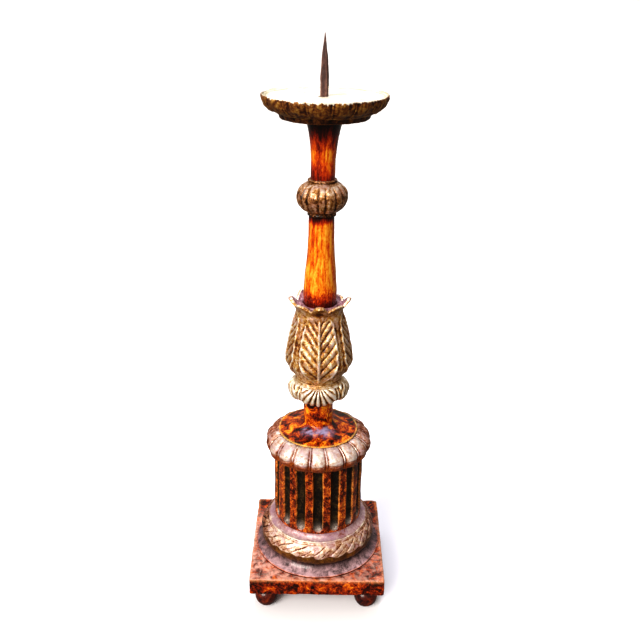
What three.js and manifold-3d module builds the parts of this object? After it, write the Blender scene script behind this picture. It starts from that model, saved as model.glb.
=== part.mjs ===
// A carved, lacquered and gilded wooden altar candlestick with an iron pricket spike.
// Millimetres, +Z up, +Y to the back. The origin is on the table, on the column's axis.
// The column is a stack of turned and carved blocks, threaded on round dowels.

import * as THREE from 'three';
import { mergeVertices } from 'three/addons/utils/BufferGeometryUtils.js';
import Module from 'manifold-3d';

const wasm = await Module();
wasm.setup();

// ---------------------------------------------------------------- driving dimensions

const PLINTH_SIDE = 162;
const GLUE_GAP = 0.3; // left between two blocks that meet, and round every dowel
const DOWEL_SIDES = 12;
const SHAFT_SIDES = 24;

// Height of each block of the column, in the order that they are stacked.
const BLOCK_HEIGHTS = {
  foot: 29,
  plinth: 22,
  cavetto: 12.5,
  leafTorus: 28,
  drumFoot: 6.5,
  drum: 88,
  gadroons: 27.5,
  cap: 38.5,
  collar: 32,
  calyx: 82, // up to the seat of the middle shaft, at the bottom of the calyx's mouth
  middleShaft: 111.5,
  knop: 39.5,
  upperShaft: 62.5,
};

const DRUM_RADIUS = 53.7;
const TORUS_RADIUS = 71;
const CAVETTO_RADIUS = 77.6;
const GADROON_RADIUS = 63.3;
const CAP_RADIUS = 47.3;
const NECK_RADIUS = 17.3;
const COLLAR_RADIUS = 36;
const CALYX_RADIUS = 39.4;
const SHAFT_FOOT_RADIUS = 18.8;
const KNOP_RADIUS = 27.3;
const PAN_RADIUS = 66;
const PAN_HEIGHT = 24.5;
const PAN_FLOOR = 21.5; // height of the pan's flat floor above its underside
const FOOT_RADIUS = 14;
const FOOT_INSET = 20; // from the plinth's side to a foot's axis

const FLUTES = 16;
const GADROONS = 18;
const TORUS_LEAVES = 20;
const COLLAR_LEAVES = 4;
const CALYX_LEAVES = 4;
const KNOP_LOBES = 16;
const PAN_LOBES = 16;

const SPIKE_THICKNESS = 6.8;
const SPIKE_LENGTH = 61; // above the pan's floor
const TANG_LENGTH = 40; // below the pan's floor
const SPIKE_TURN = THREE.MathUtils.degToRad(28); // one ridge stands this far right of front

const TENON = { radius: 12, length: 10 }; // on top of the upper shaft, in the pan's underside
const FOOT_DOWEL = { radius: 4, into: 9 };
const BASE_DOWEL = { radius: 12, into: 18 };
const DRUM_DOWEL = { radius: 10, into: 20, intoCap: 12 };
const NECK_DOWEL = { radius: 7, into: 18, intoCalyx: 16 };
const STEM_DOWEL = { radius: 7, into: 20 };
const KNOP_DOWEL = { radius: 5, into: 18 };

// Height of each block's underside above the table.
const LEVELS = {};
let stackTop = 0;
for (const [block, height] of Object.entries(BLOCK_HEIGHTS)) {
  LEVELS[block] = stackTop;
  stackTop += height;
}
LEVELS.pan = stackTop;

// ---------------------------------------------------------------- finishes

const FINISHES = {
  lacquer: { color: 0x9c3f14, roughness: 0.28, metalness: 0 },
  darkLacquer: { color: 0x4a1f14, roughness: 0.35, metalness: 0 },
  gilding: { color: 0xc8a562, roughness: 0.4, metalness: 0.7 },
  panGesso: { color: 0xe6d7b4, roughness: 0.6, metalness: 0 },
  iron: { color: 0x5c443b, roughness: 0.7, metalness: 0.8 },
  bareWood: { color: 0xb58a58, roughness: 0.8, metalness: 0 },
};

function finish(name) {
  return new THREE.MeshStandardMaterial(FINISHES[name]);
}

// ---------------------------------------------------------------- turning, carving, drilling

const candlestick = new THREE.Group();

/** Merges a geometry's shared corners and drops the triangles that close up on the axis. */
function weld(geometry) {
  geometry.deleteAttribute('normal');
  geometry.deleteAttribute('uv');
  const welded = mergeVertices(geometry);
  const corners = welded.index.array;
  const kept = [];
  for (let i = 0; i < corners.length; i += 3) {
    const [a, b, c] = corners.slice(i, i + 3);
    if (a !== b && b !== c && c !== a) kept.push(a, b, c);
  }
  welded.setIndex(kept);
  return welded;
}

function toSolid(geometry) {
  const welded = weld(geometry);
  return new wasm.Manifold(new wasm.Mesh({
    numProp: 3,
    vertProperties: new Float32Array(welded.attributes.position.array),
    triVerts: new Uint32Array(welded.index.array),
  }));
}

function toGeometry(solid) {
  const mesh = solid.getMesh();
  const geometry = new THREE.BufferGeometry();
  geometry.setAttribute('position', new THREE.BufferAttribute(mesh.vertProperties, 3));
  geometry.setIndex(new THREE.BufferAttribute(mesh.triVerts, 1));
  geometry.computeVertexNormals();
  return geometry;
}

/** Cuts round upright holes, each { radius, from, to, x, y, sides }, out of a geometry. */
function drill(geometry, holes) {
  let solid = toSolid(geometry);
  for (const { radius, from, to, x = 0, y = 0, sides = DOWEL_SIDES } of holes) {
    const bit = new THREE.CylinderGeometry(radius, radius, to - from, sides);
    bit.rotateX(Math.PI / 2);
    bit.translate(x, y, (from + to) / 2);
    solid = solid.subtract(toSolid(bit));
  }
  return toGeometry(solid);
}

/**
 * Revolves an outline of (radius, height) points, from the lowest up, closed on the axis.
 * `carve` may move each point: it takes the radius, height and angle from the front, and
 * gives back the new radius and height.
 */
function turn(outline, sides, carve) {
  const foot = new THREE.Vector2(0, outline[0].y);
  const head = new THREE.Vector2(0, outline[outline.length - 1].y);
  const profile = [foot, ...outline, head];
  const geometry = new THREE.LatheGeometry(profile, sides);
  if (carve) {
    const position = geometry.attributes.position;
    for (let i = 0; i < position.count; i += 1) {
      const place = i % profile.length;
      if (place === 0 || place === profile.length - 1) continue;
      const column = Math.floor(i / profile.length) % sides;
      const angle = (column / sides) * 2 * Math.PI;
      const [radius, height] = carve(profile[place].x, profile[place].y, angle);
      position.setXYZ(i, radius * Math.sin(angle), height, radius * Math.cos(angle));
    }
  }
  geometry.rotateX(Math.PI / 2);
  return geometry;
}

/** Adds a block to the column, with its own underside at the given level. */
function place(name, geometry, finishName, level, x = 0, y = 0) {
  const mesh = new THREE.Mesh(geometry, finish(finishName));
  mesh.name = name;
  mesh.position.set(x, y, level);
  candlestick.add(mesh);
  return mesh;
}

/** A hole for a dowel, open past the block's faces from `from` to `to`. */
function socket(dowel, from, to) {
  return { radius: dowel.radius + GLUE_GAP, from, to };
}

const PAST = 1; // how far a drill runs past a face that it opens

function socketBelow(dowel) {
  return socket(dowel, -PAST, dowel.into + GLUE_GAP);
}

function socketAbove(dowel, height) {
  return socket(dowel, height - dowel.into - GLUE_GAP, height + PAST);
}

function socketThrough(dowel, height) {
  return socket(dowel, -PAST, height + PAST);
}

/** A loose dowel that runs from one level to another, with chamfered ends. */
function dowelBetween(name, dowel, from, to, x = 0, y = 0) {
  const length = to - from;
  const chamfer = 1;
  const outline = [
    new THREE.Vector2(dowel.radius - chamfer, 0),
    new THREE.Vector2(dowel.radius, chamfer),
    new THREE.Vector2(dowel.radius, length - chamfer),
    new THREE.Vector2(dowel.radius - chamfer, length),
  ];
  place(name, weld(turn(outline, DOWEL_SIDES)), 'bareWood', from, x, y);
}

/** 1 on the crown of each of `count` lobes and 0 in the groove between two; one faces front. */
function lobe(angle, count) {
  return Math.abs(Math.cos((angle * count) / 2));
}

/** How far a height is between two limits, from 0 to 1. */
function between(height, low, high) {
  return THREE.MathUtils.clamp((height - low) / (high - low), 0, 1);
}

/** The top of a block, just under the glue line. */
function topOf(block) {
  return BLOCK_HEIGHTS[block] - GLUE_GAP;
}

// ---------------------------------------------------------------- feet and plinth

const footPlaces = [];
for (const [side, x] of [['left', -1], ['right', 1]]) {
  for (const [end, y] of [['front', -1], ['back', 1]]) {
    const offset = PLINTH_SIDE / 2 - FOOT_INSET;
    footPlaces.push({ side, end, x: x * offset, y: y * offset });
  }
}

/** A ball foot: a turned ball, flat where it stands, with a short neck under the plinth. */
function ballFoot() {
  const flatRadius = 5.5;
  const neckRadius = 8;
  const top = topOf('foot');
  const centre = Math.sqrt(FOOT_RADIUS ** 2 - flatRadius ** 2);
  const start = -Math.acos(flatRadius / FOOT_RADIUS);
  const stop = Math.acos(neckRadius / FOOT_RADIUS);
  const path = new THREE.Path();
  path.absarc(0, centre, FOOT_RADIUS, start, stop);
  const outline = path.getPoints(3);
  outline.push(new THREE.Vector2(neckRadius, top));
  return drill(turn(outline, 16), [socketAbove(FOOT_DOWEL, top)]);
}

/** The square plinth, with softened edges, sockets for the feet below and the column above. */
function plinth() {
  const rounding = 2.5;
  const bevel = 1.2;
  const half = PLINTH_SIDE / 2;
  const height = topOf('plinth');
  const square = new THREE.Shape();
  square.absarc(half - rounding, half - rounding, rounding, 0, Math.PI / 2);
  square.absarc(rounding - half, half - rounding, rounding, Math.PI / 2, Math.PI);
  square.absarc(rounding - half, rounding - half, rounding, Math.PI, Math.PI * 1.5);
  square.absarc(half - rounding, rounding - half, rounding, Math.PI * 1.5, Math.PI * 2);
  const slab = new THREE.ExtrudeGeometry(square, {
    depth: height - 2 * bevel,
    bevelThickness: bevel,
    bevelSize: bevel,
    bevelOffset: -bevel,
    bevelSegments: 1,
    curveSegments: 2,
  });
  slab.translate(0, 0, bevel);
  const footSockets = footPlaces.map(({ x, y }) => ({ ...socketBelow(FOOT_DOWEL), x, y }));
  return drill(slab, [...footSockets, socketAbove(BASE_DOWEL, height)]);
}

for (const { side, end, x, y } of footPlaces) {
  place(`ball_foot_${end}_${side}`, ballFoot(), 'darkLacquer', LEVELS.foot, x, y);
  const middle = LEVELS.plinth;
  dowelBetween(`foot_dowel_${end}_${side}`, FOOT_DOWEL, middle - FOOT_DOWEL.into,
    middle + FOOT_DOWEL.into, x, y);
}
place('plinth', plinth(), 'lacquer', LEVELS.plinth);

// ---------------------------------------------------------------- base mouldings and drum

/** The hollow moulding that lies on the plinth: a thin rim under a sweep of a quarter hollow. */
function cavettoDisc() {
  const height = topOf('cavetto');
  const rimHeight = 2.6;
  const path = new THREE.Path();
  path.moveTo(CAVETTO_RADIUS, 0);
  path.lineTo(CAVETTO_RADIUS, rimHeight);
  path.lineTo(CAVETTO_RADIUS - 1.2, rimHeight + 0.6);
  path.quadraticCurveTo(CAVETTO_RADIUS - 9.5, rimHeight + 2.2, CAVETTO_RADIUS - 11.5, height);
  return drill(turn(path.getPoints(4), 40), [socketThrough(BASE_DOWEL, height)]);
}

/** The fat round moulding, cut with slanting leaves, and a bead on its top edge. */
function leafTorus() {
  const height = topOf('leafTorus');
  const slant = 0.35; // how far a leaf turns round the torus, in radians, from bottom to top
  const cut = 1.2;
  const path = new THREE.Path();
  path.moveTo(TORUS_RADIUS - 3.5, 0);
  path.quadraticCurveTo(TORUS_RADIUS, 1.5, TORUS_RADIUS, 9.5);
  path.quadraticCurveTo(TORUS_RADIUS, 20.5, TORUS_RADIUS - 10.3, height - 1.2);
  path.lineTo(TORUS_RADIUS - 11, height);
  const carve = (radius, z, angle) => {
    const side = Math.sin(Math.PI * between(z, 0, height));
    return [radius - cut * side * (1 - lobe(angle + (slant * z) / height, TORUS_LEAVES)), z];
  };
  const geometry = turn(path.getPoints(2), TORUS_LEAVES * 3, carve);
  return drill(geometry, [socketThrough(BASE_DOWEL, height)]);
}

/** The smooth ring that spreads from the foot of the drum. */
function drumFootRing() {
  const height = topOf('drumFoot');
  const path = new THREE.Path();
  path.moveTo(DRUM_RADIUS + 6.3, 0);
  path.quadraticCurveTo(DRUM_RADIUS + 1.2, 1.6, DRUM_RADIUS, height);
  return drill(turn(path.getPoints(3), 40), [socketThrough(BASE_DOWEL, height)]);
}

/** The drum, cut with upright flutes that end in round hollows above its foot. */
function flutedDrum() {
  const height = topOf('drum');
  const fluteDepth = 4.6;
  const fluteStart = 1.2;
  const hollowLength = 5.5;
  const pitch = (2 * Math.PI) / FLUTES;
  const levels = [0, fluteStart, fluteStart + hollowLength * 0.4, fluteStart + hollowLength,
    height];
  const outline = levels.map((z) => new THREE.Vector2(DRUM_RADIUS, z));
  const carve = (radius, z, angle) => {
    const offset = Math.abs(angle / pitch - Math.round(angle / pitch)) * 4;
    const section = Math.sqrt(Math.max(0, 1 - offset ** 2));
    const end = 1 - between(z, fluteStart, fluteStart + hollowLength);
    return [radius - fluteDepth * section * Math.sqrt(1 - end ** 2), z];
  };
  return drill(turn(outline, FLUTES * 8, carve), [
    socketBelow(BASE_DOWEL),
    socketAbove(DRUM_DOWEL, height),
  ]);
}

/** The ring of gadroons that caps the drum, each a fat lobe with a lip over the flutes. */
function gadroonRing() {
  const height = topOf('gadroons');
  const path = new THREE.Path();
  path.moveTo(GADROON_RADIUS - 7.5, 0);
  path.quadraticCurveTo(GADROON_RADIUS, 1, GADROON_RADIUS, 10);
  path.quadraticCurveTo(GADROON_RADIUS, 20, GADROON_RADIUS - 12, height - 0.8);
  path.lineTo(CAP_RADIUS + 1, height);
  const groove = 3.2;
  const carve = (radius, z, angle) => {
    const fade = Math.sin(Math.PI * between(z, -8, height));
    return [radius - groove * fade * (1 - lobe(angle, GADROONS)), z];
  };
  return drill(turn(path.getPoints(3), GADROONS * 4, carve), [socketThrough(DRUM_DOWEL, height)]);
}

/** The cap: a thin rim, a low rounded dome, and a round neck. */
function capDome() {
  const height = topOf('cap');
  const rimHeight = 2;
  const path = new THREE.Path();
  path.moveTo(CAP_RADIUS - 0.5, 0);
  path.lineTo(CAP_RADIUS, rimHeight);
  path.lineTo(CAP_RADIUS - 3, rimHeight + 1.2);
  path.quadraticCurveTo(CAP_RADIUS - 18, 6.8, NECK_RADIUS + 4, 8.2);
  path.quadraticCurveTo(NECK_RADIUS, 8.5, NECK_RADIUS, 13);
  path.lineTo(NECK_RADIUS, height);
  return drill(turn(path.getPoints(4), 40), [
    socketBelow({ ...DRUM_DOWEL, into: DRUM_DOWEL.intoCap }),
    socketAbove(NECK_DOWEL, height),
  ]);
}

place('cavetto_disc', cavettoDisc(), 'darkLacquer', LEVELS.cavetto);
place('leaf_torus', leafTorus(), 'gilding', LEVELS.leafTorus);
place('drum_foot_ring', drumFootRing(), 'lacquer', LEVELS.drumFoot);
place('fluted_drum', flutedDrum(), 'lacquer', LEVELS.drum);
place('gadroon_ring', gadroonRing(), 'gilding', LEVELS.gadroons);
place('cap_dome', capDome(), 'lacquer', LEVELS.cap);
dowelBetween('base_dowel', BASE_DOWEL, LEVELS.cavetto - BASE_DOWEL.into,
  LEVELS.drum + BASE_DOWEL.into);
dowelBetween('drum_dowel', DRUM_DOWEL, LEVELS.gadroons - DRUM_DOWEL.into,
  LEVELS.cap + DRUM_DOWEL.intoCap);

// ---------------------------------------------------------------- leaf collar and calyx

/** The skirt of leaves that turn down under the calyx, each with its tip hanging lowest. */
function leafCollar() {
  const height = topOf('collar');
  const skirtRadius = COLLAR_RADIUS - 11;
  const path = new THREE.Path();
  path.moveTo(NECK_RADIUS + 0.5, 0);
  path.lineTo(skirtRadius, 1.5);
  path.quadraticCurveTo(COLLAR_RADIUS - 0.5, 6, COLLAR_RADIUS, 17);
  path.quadraticCurveTo(COLLAR_RADIUS, 28, COLLAR_RADIUS - 9, height);
  const hang = 5;
  const carve = (radius, z, angle) => {
    const leaf = lobe(angle, COLLAR_LEAVES);
    const lower = 1 - between(z, 0, 14);
    const skirt = between(radius, NECK_RADIUS, skirtRadius);
    return [radius - 3 * (1 - leaf), z + hang * lower * skirt * (1 - leaf)];
  };
  return drill(turn(path.getPoints(3), 40, carve), [socketThrough(NECK_DOWEL, height)]);
}

/**
 * The calyx: a bud of four upright leaves, with a shallow mouth between flaring tips. The
 * middle shaft stands in a round seat that is sunk in the mouth.
 */
function leafCalyx() {
  const seat = BLOCK_HEIGHTS.calyx;
  const tip = seat + 17;
  const waist = CALYX_RADIUS - 12.2;
  const seatRadius = SHAFT_FOOT_RADIUS + 0.4;
  const path = new THREE.Path();
  path.moveTo(CALYX_RADIUS - 13, 0);
  path.splineThru([
    new THREE.Vector2(CALYX_RADIUS - 2.2, 16),
    new THREE.Vector2(CALYX_RADIUS, 27),
    new THREE.Vector2(CALYX_RADIUS - 3.4, 52),
    new THREE.Vector2(waist, seat - 2),
    new THREE.Vector2(CALYX_RADIUS - 4.5, tip),
  ]);
  const outer = path.getPoints(2);
  const mouth = [
    new THREE.Vector2(CALYX_RADIUS - 6.5, tip - 0.5),
    new THREE.Vector2(waist - 0.5, tip - 4.5),
    new THREE.Vector2(seatRadius, tip - 6.5),
    new THREE.Vector2(seatRadius, seat),
  ];
  const carve = (radius, z, angle) => {
    const leaf = lobe(angle, CALYX_LEAVES);
    const flare = between(z, seat, tip) * between(radius, seatRadius, waist);
    const edge = 1.6 * Math.sin(Math.PI * between(z, 0, seat));
    return [radius - edge * (1 - leaf) - 6 * flare * (1 - leaf), z - 11 * flare * (1 - leaf)];
  };
  return drill(turn([...outer, ...mouth], 40, carve), [
    socketBelow({ ...NECK_DOWEL, into: NECK_DOWEL.intoCalyx }),
    socketAbove(STEM_DOWEL, seat),
  ]);
}

place('leaf_collar', leafCollar(), 'gilding', LEVELS.collar);
place('leaf_calyx', leafCalyx(), 'gilding', LEVELS.calyx);
dowelBetween('neck_dowel', NECK_DOWEL, LEVELS.collar - NECK_DOWEL.into,
  LEVELS.calyx + NECK_DOWEL.intoCalyx);

// ---------------------------------------------------------------- shafts and knop

/** The long shaft between calyx and knop, which thins as it rises. */
function middleShaft() {
  const height = topOf('middleShaft');
  const path = new THREE.Path();
  path.moveTo(SHAFT_FOOT_RADIUS, GLUE_GAP);
  path.lineTo(SHAFT_FOOT_RADIUS - 0.4, 29);
  path.splineThru([
    new THREE.Vector2(17.2, 48),
    new THREE.Vector2(15.4, 67),
    new THREE.Vector2(14.5, 85),
  ]);
  path.lineTo(14, height);
  return drill(turn(path.getPoints(2), SHAFT_SIDES), [
    socketBelow(STEM_DOWEL),
    socketAbove(KNOP_DOWEL, height),
  ]);
}

/** The melon knop: a lobed ball between two small collars. */
function melonKnop() {
  const height = topOf('knop');
  const ballLow = 3.5;
  const ballHigh = 36.5;
  const collarRadius = 15.4;
  const neckRadius = 14.6;
  const path = new THREE.Path();
  path.moveTo(collarRadius, 0);
  path.lineTo(collarRadius, ballLow - 1);
  path.lineTo(neckRadius, ballLow);
  path.bezierCurveTo(KNOP_RADIUS + 4.2, ballLow + 6, KNOP_RADIUS + 4.2, ballHigh - 6,
    neckRadius, ballHigh);
  path.lineTo(collarRadius, ballHigh + 1);
  path.lineTo(collarRadius, height);
  const carve = (radius, z, angle) => {
    const ball = Math.sin(Math.PI * between(z, ballLow, ballHigh));
    return [radius - 1.3 * ball * (1 - lobe(angle, KNOP_LOBES)), z];
  };
  return drill(turn(path.getPoints(7), KNOP_LOBES * 2, carve), [
    socketThrough(KNOP_DOWEL, height),
  ]);
}

/** The shaft under the pan: straight, then spreading, with a tenon that enters the pan. */
function upperShaft() {
  const shoulder = topOf('upperShaft');
  const height = shoulder + TENON.length;
  const path = new THREE.Path();
  path.moveTo(13.1, 0);
  path.lineTo(13.1, 20);
  path.splineThru([
    new THREE.Vector2(14.6, 37),
    new THREE.Vector2(16.8, 51),
    new THREE.Vector2(19.4, shoulder),
  ]);
  path.lineTo(TENON.radius, shoulder);
  path.lineTo(TENON.radius, height);
  const tangBottom = LEVELS.pan + PAN_FLOOR - TANG_LENGTH - LEVELS.upperShaft;
  return drill(turn(path.getPoints(2), SHAFT_SIDES), [
    socketBelow(KNOP_DOWEL),
    { radius: tangHoleRadius(), from: tangBottom - GLUE_GAP, to: height + PAST },
  ]);
}

place('middle_shaft', middleShaft(), 'lacquer', LEVELS.middleShaft);
place('melon_knop', melonKnop(), 'gilding', LEVELS.knop);
place('upper_shaft', upperShaft(), 'lacquer', LEVELS.upperShaft);
dowelBetween('stem_dowel', STEM_DOWEL, LEVELS.middleShaft - STEM_DOWEL.into,
  LEVELS.middleShaft + STEM_DOWEL.into);
dowelBetween('knop_dowel', KNOP_DOWEL, LEVELS.knop - KNOP_DOWEL.into,
  LEVELS.upperShaft + KNOP_DOWEL.into);

// ---------------------------------------------------------------- drip pan and spike

/** Radius of the round hole that the square tang of the spike is driven into. */
function tangHoleRadius() {
  return SPIKE_THICKNESS * Math.SQRT1_2 + GLUE_GAP;
}

/** The drip pan: a stepped foot, a carved bowl and a raised lip round a flat floor. */
function dripPan() {
  const step = 5.6;
  const path = new THREE.Path();
  path.moveTo(44, 0);
  path.lineTo(47, 1.5);
  path.lineTo(48.5, step);
  path.lineTo(50, step + 0.2);
  path.quadraticCurveTo(64, 11, PAN_RADIUS, PAN_HEIGHT - 3.5);
  path.lineTo(PAN_RADIUS, PAN_HEIGHT - 0.5);
  path.lineTo(PAN_RADIUS - 1, PAN_HEIGHT);
  path.lineTo(PAN_RADIUS - 3, PAN_HEIGHT);
  path.quadraticCurveTo(PAN_RADIUS - 7, PAN_FLOOR, PAN_RADIUS - 14, PAN_FLOOR);
  const carve = (radius, z, angle) => {
    const side = radius > PAN_RADIUS - 17 && radius < PAN_RADIUS - 2 ? 1 : 0;
    const carved = side * Math.sin(Math.PI * between(z, step, PAN_HEIGHT + 5));
    return [radius - 1.6 * carved * (1 - lobe(angle, PAN_LOBES)), z];
  };
  return drill(turn(path.getPoints(3), PAN_LOBES * 3, carve), [
    { ...socketBelow({ radius: TENON.radius, into: TENON.length }), sides: SHAFT_SIDES },
    { radius: tangHoleRadius(), from: -PAST, to: PAN_FLOOR + PAST },
  ]);
}

/** The pricket spike: a square forged bar, straight at the pan and drawn out to a point. */
function pricketSpike() {
  const ridge = SPIKE_THICKNESS * Math.SQRT1_2;
  const outline = [
    new THREE.Vector2(ridge * 0.55, -TANG_LENGTH),
    new THREE.Vector2(ridge, -TANG_LENGTH * 0.6),
    new THREE.Vector2(ridge, SPIKE_LENGTH * 0.33),
    new THREE.Vector2(ridge * 0.7, SPIKE_LENGTH * 0.64),
    new THREE.Vector2(0.35, SPIKE_LENGTH),
  ];
  const geometry = weld(turn(outline, 4));
  geometry.rotateZ(SPIKE_TURN);
  return geometry;
}

place('drip_pan', dripPan(), 'panGesso', LEVELS.pan);
place('pricket_spike', pricketSpike(), 'iron', LEVELS.pan + PAN_FLOOR);

export default candlestick;
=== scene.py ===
"""The looks of a carved altar candlestick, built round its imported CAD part.

The frame is in metres, +Z up and +Y to the back. Each block is shaped here in millimetres,
from its CAD node's size. Angles go round the column from its front, towards +X.
"""

import itertools
import math

import bpy
import numpy as np
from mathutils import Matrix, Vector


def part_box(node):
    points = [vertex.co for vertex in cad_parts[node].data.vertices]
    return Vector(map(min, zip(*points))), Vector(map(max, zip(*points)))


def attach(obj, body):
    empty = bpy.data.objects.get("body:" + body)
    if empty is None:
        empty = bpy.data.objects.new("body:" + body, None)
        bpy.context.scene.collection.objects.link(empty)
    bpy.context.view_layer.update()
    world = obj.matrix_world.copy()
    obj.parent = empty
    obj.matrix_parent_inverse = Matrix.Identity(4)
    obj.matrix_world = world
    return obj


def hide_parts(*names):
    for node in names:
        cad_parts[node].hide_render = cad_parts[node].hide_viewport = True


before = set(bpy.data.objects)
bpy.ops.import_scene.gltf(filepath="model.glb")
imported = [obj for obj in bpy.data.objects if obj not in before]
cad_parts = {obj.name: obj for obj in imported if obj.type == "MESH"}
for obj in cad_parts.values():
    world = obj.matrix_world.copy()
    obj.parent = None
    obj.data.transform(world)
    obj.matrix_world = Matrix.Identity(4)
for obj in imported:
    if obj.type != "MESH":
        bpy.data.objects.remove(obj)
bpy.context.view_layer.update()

MM = 0.001
GLUE_GAP = 0.3  # between two blocks that meet, and round every dowel
STEP = 0.8  # length of a facet along an outline

FLUTES = 16
GADROONS = 18
TORUS_LEAVES = 20
KNOP_LOBES = 16
PAN_LOBES = 16
FEET = ("front_left", "front_right", "back_left", "back_right")
QUARTER = math.pi / 2  # the calyx and the collar have four leaves each

SPIKE_SHIFT = 1.2  # how far the spike stands to the right of the column's axis
PAN_LIP = 3.0  # height of the pan's lip over its floor
PAN_SOCKET = 12.3  # radius of the socket for the upper shaft's tenon

# The hand-made column isn't quite straight: how far its middle is to the right at a height.
LEAN_HEIGHTS = (0, 29, 186, 205, 214, 255, 300, 380, 400, 450, 500, 540, 604)
LEAN_OFFSETS = (0.5, 0.6, 0.3, 0.4, -0.6, -0.7, -0.5, -0.5, -0.2, 0.0, 0.5, 1.3, 2.1)


# ---------------- measuring


def corners(node):
    """Every corner of a CAD node, in millimetres."""
    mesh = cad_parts[node].data
    flat = np.zeros(len(mesh.vertices) * 3)
    mesh.vertices.foreach_get("co", flat)
    return flat.reshape(-1, 3) / MM


def reach(node):
    """How far a CAD node reaches from the column's axis."""
    points = corners(node)
    return np.hypot(points[:, 0], points[:, 1]).max()


def levels(node):
    """The heights of a CAD node's underside and top."""
    low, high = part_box(node)
    return low.z / MM, high.z / MM


def measured(node):
    """How far a CAD node reaches from the column's axis, and how tall it is."""
    low, high = levels(node)
    return reach(node), high - low


def lean(height):
    """How far the column's middle is to the right at a height above the table."""
    return np.interp(height, LEAN_HEIGHTS, LEAN_OFFSETS)


def smooth(value, low, high):
    """0 below `low`, 1 above `high`, and a smooth rise between them."""
    t = np.clip((value - low) / (high - low), 0, 1)
    return t * t * (3 - 2 * t)


def bump(value, middle, width):
    """1 at `middle`, falling smoothly to almost 0 at `width` from it."""
    return np.exp(-2.5 * ((value - middle) / width) ** 2)


def band(value, start, full, wane, end):
    """1 between `full` and `wane`, and 0 outside `start` and `end`."""
    return smooth(value, start, full) * (1 - smooth(value, wane, end))


def ridge(offset, width):
    """1 where the offset is 0, falling smoothly away on both sides."""
    return np.exp(-(offset / width) ** 2)


def stacked(*parts):
    """Points, from grids of their coordinates."""
    return np.stack(np.broadcast_arrays(*parts), axis=-1)


def wrapped(angle, period):
    """The angle from the nearest multiple of a period."""
    return angle - period * np.round(angle / period)


def wander(points, size, seed):
    """Smooth noise from -1 to 1 at (..., 3) points, with features about `size` across."""
    place = points / size + 31.7 * seed
    cell = np.floor(place).astype(np.int64)
    part = place - cell
    part = part * part * (3 - 2 * part)
    total = np.zeros(place.shape[:-1])
    for corner in itertools.product((0, 1), repeat=3):
        x, y, z = np.moveaxis(cell + np.array(corner), -1, 0)
        mixed = (x * 374761393 + y * 668265263 + z * 1274126177) & 0x7FFFFFFF
        mixed = ((mixed ^ (mixed >> 13)) * 1103515245) & 0x7FFFFFFF
        value = ((mixed ^ (mixed >> 16)) & 0xFFFF) / 32767.5 - 1
        weight = np.where(np.array(corner) == 1, part, 1 - part).prod(axis=-1)
        total += weight * value
    return total


def blurred(values, reach_rows, reach_columns):
    """A grid's values averaged over near rows, and over near columns all the way round."""
    last = len(values) - 1
    rows = np.arange(last + 1)
    shifts = range(-reach_rows, reach_rows + 1)
    values = sum(values[np.clip(rows + shift, 0, last)] for shift in shifts) / len(shifts)
    shifts = range(-reach_columns, reach_columns + 1)
    return sum(np.roll(values, shift, axis=1) for shift in shifts) / len(shifts)


# ---------------- outlines and turned blocks


class Outline:
    """A turned block's outline of (radius, height) points, from its lower edge up."""

    def __init__(self, radius, height):
        self.points = [np.array((radius, height), float)]

    def follow(self, path):
        """Adds a path from the last point, given as a function of 0 to 1, in even steps."""
        fine = np.array([path(t) for t in np.linspace(0, 1, 60)])
        lengths = np.hypot(*np.diff(fine, axis=0).T)
        travelled = np.concatenate(([0], np.cumsum(lengths)))
        steps = max(1, round(travelled[-1] / STEP))
        for length in np.linspace(0, travelled[-1], steps + 1)[1:]:
            t = np.interp(length, travelled, np.linspace(0, 1, 60))
            self.points.append(np.array(path(t), float))
        return self

    def line(self, radius, height):
        start = self.points[-1]
        end = np.array((radius, height), float)
        return self.follow(lambda t: start + (end - start) * t)

    def curve(self, bend, end):
        """A curve that heads for `bend` and ends at `end`."""
        start = self.points[-1]
        bend, end = np.array(bend, float), np.array(end, float)
        return self.follow(lambda t: (1 - t) ** 2 * start + 2 * t * (1 - t) * bend + t * t * end)

    def through(self, *stops):
        """A smooth curve through all the stops."""
        path = [self.points[-1]] + [np.array(stop, float) for stop in stops]
        path = [2 * path[0] - path[1]] + path + [2 * path[-1] - path[-2]]
        for a, b, c, d in zip(path, path[1:], path[2:], path[3:]):
            self.follow(lambda t, a=a, b=b, c=c, d=d: 0.5 * (
                2 * b + (c - a) * t + (2 * a - 5 * b + 4 * c - d) * t * t
                + (3 * b - a - 3 * c + d) * t ** 3))
        return self


def bore(dowel):
    """(radius, from, to, middle) of the round hole for a dowel or for the spike's tang."""
    low, high = levels(dowel)
    points = corners(dowel)
    middle = (points[:, :2].max(axis=0) + points[:, :2].min(axis=0)) / 2
    radius = np.hypot(*(points[:, :2] - middle).T).max()
    return radius + GLUE_GAP, low - GLUE_GAP, high + GLUE_GAP, middle


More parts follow.
